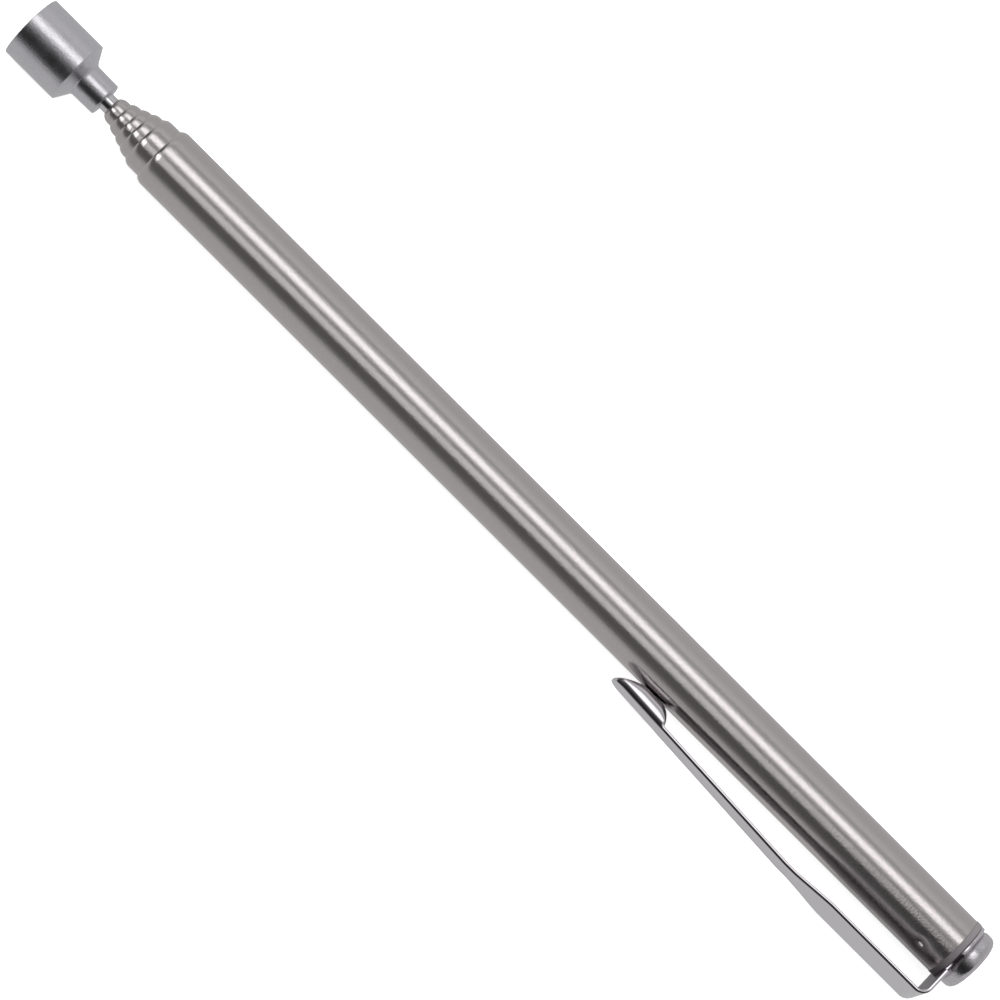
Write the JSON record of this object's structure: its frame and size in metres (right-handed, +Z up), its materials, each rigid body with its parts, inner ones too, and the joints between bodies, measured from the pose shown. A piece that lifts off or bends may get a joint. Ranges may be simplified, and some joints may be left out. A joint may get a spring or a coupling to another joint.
{
  "type": "telescopic magnetic pick-up tool",
  "caption": "Pocket-size telescopic pick-up tool: nested steel tubes that slide out, a cupped disc magnet at the tip, and a sprung pocket clip held by a domed end button.",
  "frame": {"origin": "on the surface that the closed tool lies on, under the middle of its length and width", "axes": "+X along the tool from the magnet to the end button, +Z up, and the pocket clip on the -Y side"},
  "size_m": [0.135, 0.0104, 0.0073],
  "materials": {
    "magnet_nickel": "bright nickel plate",
    "cup_nickel": "satin nickel plate",
    "tube_steel": "satin, drawn along its length",
    "plug_plastic": "matte dark grey",
    "clip_steel": "bright stamped strip",
    "button_nickel": "satin nickel plate",
    "bush_brass": "turned",
    "ring_bronze": "spring bronze"
  },
  "bodies": {
    "grip": {"grip_tube": "tube_steel", "end_plug": "plug_plastic", "clip_collar": "clip_steel", "end_button": "button_nickel"},
    "clip": {"clip_arm": "clip_steel"},
    "section_5": {"tube_5": "tube_steel", "bush_5": "bush_brass", "friction_ring_5": "ring_bronze"},
    "section_4": {"tube_4": "tube_steel", "bush_4": "bush_brass", "friction_ring_4": "ring_bronze"},
    "section_3": {"tube_3": "tube_steel", "bush_3": "bush_brass", "friction_ring_3": "ring_bronze"},
    "section_2": {"tube_2": "tube_steel", "bush_2": "bush_brass", "friction_ring_2": "ring_bronze"},
    "section_1": {"tube_1": "tube_steel", "bush_1": "bush_brass", "friction_ring_1": "ring_bronze"},
    "rod_slider": {"rod_friction_ring": "ring_bronze"},
    "tip": {"magnet": "magnet_nickel", "magnet_cup": "cup_nickel", "tip_rod": "cup_nickel", "rod_bush": "bush_brass"}
  },
  "joints": [
    {"name": "section_5_slide", "type": "slide", "parent": "grip", "child": "section_5", "axis": [-1, 0, 0], "range_m": [0, 0.101]},
    {"name": "section_4_slide", "type": "slide", "parent": "section_5", "child": "section_4", "axis": [-1, 0, 0], "range_m": [0, 0.0945]},
    {"name": "section_3_slide", "type": "slide", "parent": "section_4", "child": "section_3", "axis": [-1, 0, 0], "range_m": [0, 0.0871]},
    {"name": "section_2_slide", "type": "slide", "parent": "section_3", "child": "section_2", "axis": [-1, 0, 0], "range_m": [0, 0.0796]},
    {"name": "section_1_slide", "type": "slide", "parent": "section_2", "child": "section_1", "axis": [-1, 0, 0], "range_m": [0, 0.0721]},
    {"name": "rod_slide", "type": "slide", "parent": "section_1", "child": "rod_slider", "axis": [-1, 0, 0], "range_m": [0, 0.0648]},
    {"name": "tip_spin", "type": "hinge", "parent": "rod_slider", "child": "tip", "pos_m": [-0.0568, 0.0016, 0.00365], "axis": [-1, 0, 0], "continuous": true},
    {"name": "clip_flex", "type": "hinge", "parent": "grip", "child": "clip", "pos_m": [0.06402, -0.00502, 0.00365], "axis": [0, 0, 1], "range_deg": [0, 2.5], "stiffness_Nm_per_rad": 0.5, "springref_deg": -2.01}
  ]
}
